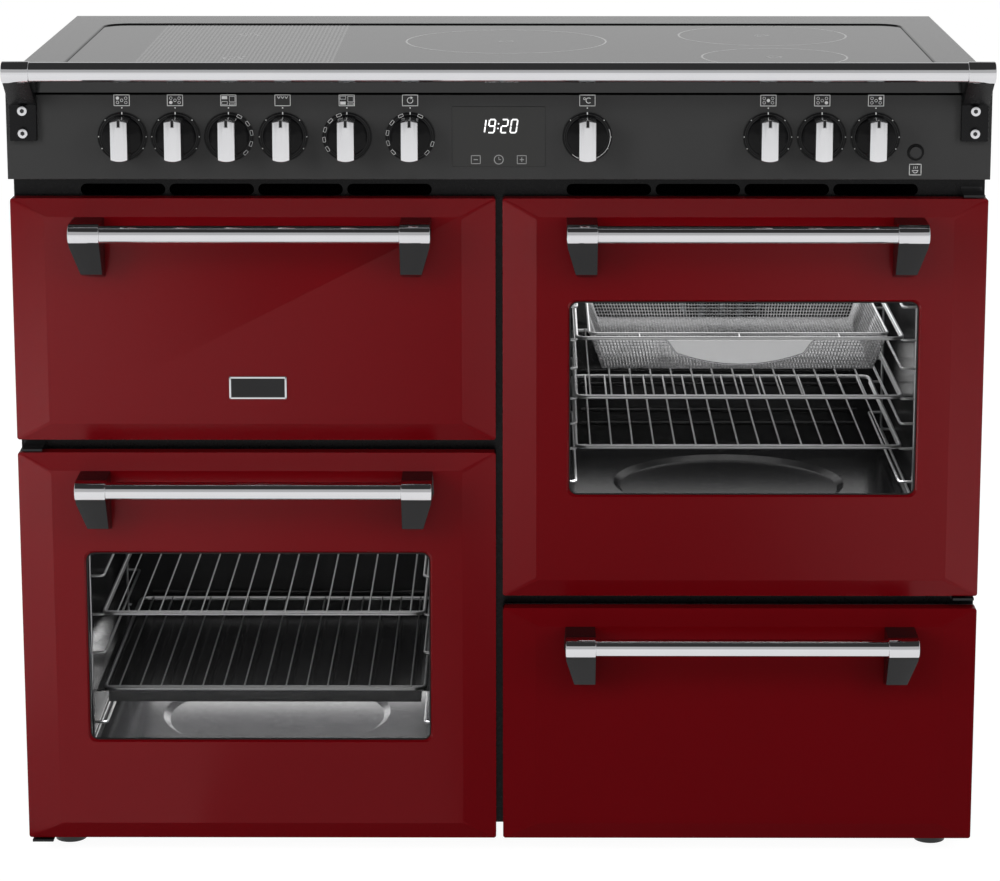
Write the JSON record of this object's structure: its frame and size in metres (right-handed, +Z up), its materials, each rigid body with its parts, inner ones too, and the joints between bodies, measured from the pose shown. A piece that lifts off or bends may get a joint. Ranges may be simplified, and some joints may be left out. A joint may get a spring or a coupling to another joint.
{
  "type": "induction range cooker",
  "caption": "Wide free-standing induction range cooker with grill, side-opening ovens and a drawer, turning control knobs, front rail and wire shelves inside.",
  "frame": {"origin": "on the floor, in the middle of the outer box", "axes": "+X to the right as seen from the front, +Y to the back, +Z up"},
  "size_m": [1.093, 0.672, 0.934],
  "materials": {
    "red_enamel": "gloss",
    "black_steel": "satin",
    "black_enamel": "gloss",
    "zinc_steel": "satin",
    "chrome": "polished",
    "steel": "brushed",
    "hob_glass": "gloss",
    "door_glass": "gloss",
    "display_glass": "gloss",
    "black_plastic": "matte",
    "seal_rubber": "matte",
    "wool": "matte",
    "copper_coil": "satin",
    "board": "matte",
    "element": "matte"
  },
  "bodies": {
    "chassis": {"base_frame": "black_steel", "levelling_feet": "black_plastic", "side_panels": "black_steel", "back_panel": "zinc_steel", "terminal_box": "black_plastic", "front_frame_left": "black_steel", "front_frame_right": "black_steel", "grill_cavity": "black_enamel", "left_oven_cavity": "black_enamel", "right_oven_cavity": "black_enamel", "drawer_bay": "zinc_steel", "insulation": "wool", "door_seals": "seal_rubber", "door_hinges": "black_steel", "hob_frame": "black_enamel", "hob_glass": "hob_glass", "hob_tray": "zinc_steel", "induction_coils": "copper_coil", "power_boards": "board", "control_panel": "black_enamel", "clock_display": "display_glass", "knob_switches": "black_plastic", "front_rail": "chrome", "rail_brackets": "chrome", "rail_bolts": "chrome", "side_ladders": "chrome", "oven_shelves": "chrome", "roasting_tray": "black_enamel", "fry_basket": "steel", "basket_front_plate": "steel", "heating_elements": "element", "fan_covers": "black_enamel", "fan_motors": "zinc_steel"},
    "grill_door": {"grill_door_skin": "red_enamel", "grill_door_inner": "black_enamel", "grill_door_handle": "chrome"},
    "left_door": {"left_door_skin": "red_enamel", "left_door_inner": "black_enamel", "left_door_glass": "door_glass", "left_door_handle": "chrome"},
    "right_door": {"right_door_skin": "red_enamel", "right_door_inner": "black_enamel", "right_door_glass": "door_glass", "right_door_handle": "chrome"},
    "drawer": {"drawer_front": "red_enamel", "drawer_box": "zinc_steel", "drawer_handle": "chrome"},
    "button": {"push_button": "black_plastic"},
    "left_fan_wheel": {"left_oven_fan": "steel"},
    "right_fan_wheel": {"right_oven_fan": "steel"},
    "knob_rear_left_body": {"knob_rear_left": "chrome"},
    "knob_front_left_body": {"knob_front_left": "chrome"},
    "knob_top_oven_body": {"knob_top_oven": "chrome"},
    "knob_grill_body": {"knob_grill": "chrome"},
    "knob_left_oven_body": {"knob_left_oven": "chrome"},
    "knob_oven_mode_body": {"knob_oven_mode": "chrome"},
    "knob_oven_heat_body": {"knob_oven_heat": "chrome"},
    "knob_centre_body": {"knob_centre": "chrome"},
    "knob_front_right_body": {"knob_front_right": "chrome"},
    "knob_rear_right_body": {"knob_rear_right": "chrome"}
  },
  "joints": [
    {"name": "grill_door_hinge", "type": "hinge", "parent": "chassis", "child": "grill_door", "pos_m": [-0.27525, -0.25, 0.503], "axis": [1, 0, 0], "range_deg": [0, 90]},
    {"name": "left_door_hinge", "type": "hinge", "parent": "chassis", "child": "left_door", "pos_m": [-0.5365, -0.25, 0.25], "axis": [0, 0, -1], "range_deg": [0, 105]},
    {"name": "right_door_hinge", "type": "hinge", "parent": "chassis", "child": "right_door", "pos_m": [0.5365, -0.25, 0.542], "axis": [0, 0, 1], "range_deg": [0, 105]},
    {"name": "drawer_slide", "type": "slide", "parent": "chassis", "child": "drawer", "axis": [0, -1, 0], "range_m": [0, 0.36]},
    {"name": "button_press", "type": "slide", "parent": "chassis", "child": "button", "axis": [0, 1, 0], "range_m": [0, 0.002], "stiffness_N_per_m": 60},
    {"name": "left_fan_spin", "type": "hinge", "parent": "chassis", "child": "left_fan_wheel", "pos_m": [-0.27525, 0.2, 0.29899], "axis": [0, 1, 0], "continuous": true},
    {"name": "right_fan_spin", "type": "hinge", "parent": "chassis", "child": "right_fan_wheel", "pos_m": [0.27525, 0.2, 0.59099], "axis": [0, 1, 0], "continuous": true},
    {"name": "turn_rear_left", "type": "hinge", "parent": "chassis", "child": "knob_rear_left_body", "pos_m": [-0.417, -0.274, 0.844], "axis": [0, 1, 0], "range_deg": [0, 300]},
    {"name": "turn_front_left", "type": "hinge", "parent": "chassis", "child": "knob_front_left_body", "pos_m": [-0.358, -0.274, 0.844], "axis": [0, 1, 0], "range_deg": [0, 300]},
    {"name": "turn_top_oven", "type": "hinge", "parent": "chassis", "child": "knob_top_oven_body", "pos_m": [-0.299, -0.274, 0.844], "axis": [0, 1, 0], "range_deg": [0, 300]},
    {"name": "turn_grill", "type": "hinge", "parent": "chassis", "child": "knob_grill_body", "pos_m": [-0.239, -0.274, 0.844], "axis": [0, 1, 0], "range_deg": [0, 270]},
    {"name": "turn_left_oven", "type": "hinge", "parent": "chassis", "child": "knob_left_oven_body", "pos_m": [-0.168, -0.274, 0.844], "axis": [0, 1, 0], "range_deg": [0, 270]},
    {"name": "turn_oven_mode", "type": "hinge", "parent": "chassis", "child": "knob_oven_mode_body", "pos_m": [-0.098, -0.274, 0.844], "axis": [0, 1, 0], "range_deg": [0, 330]},
    {"name": "turn_oven_heat", "type": "hinge", "parent": "chassis", "child": "knob_oven_heat_body", "pos_m": [0.098, -0.274, 0.844], "axis": [0, 1, 0], "range_deg": [0, 270]},
    {"name": "turn_centre", "type": "hinge", "parent": "chassis", "child": "knob_centre_body", "pos_m": [0.298, -0.274, 0.844], "axis": [0, 1, 0], "range_deg": [0, 300]},
    {"name": "turn_front_right", "type": "hinge", "parent": "chassis", "child": "knob_front_right_body", "pos_m": [0.3575, -0.274, 0.844], "axis": [0, 1, 0], "range_deg": [0, 300]},
    {"name": "turn_rear_right", "type": "hinge", "parent": "chassis", "child": "knob_rear_right_body", "pos_m": [0.417, -0.274, 0.844], "axis": [0, 1, 0], "range_deg": [0, 300]}
  ]
}
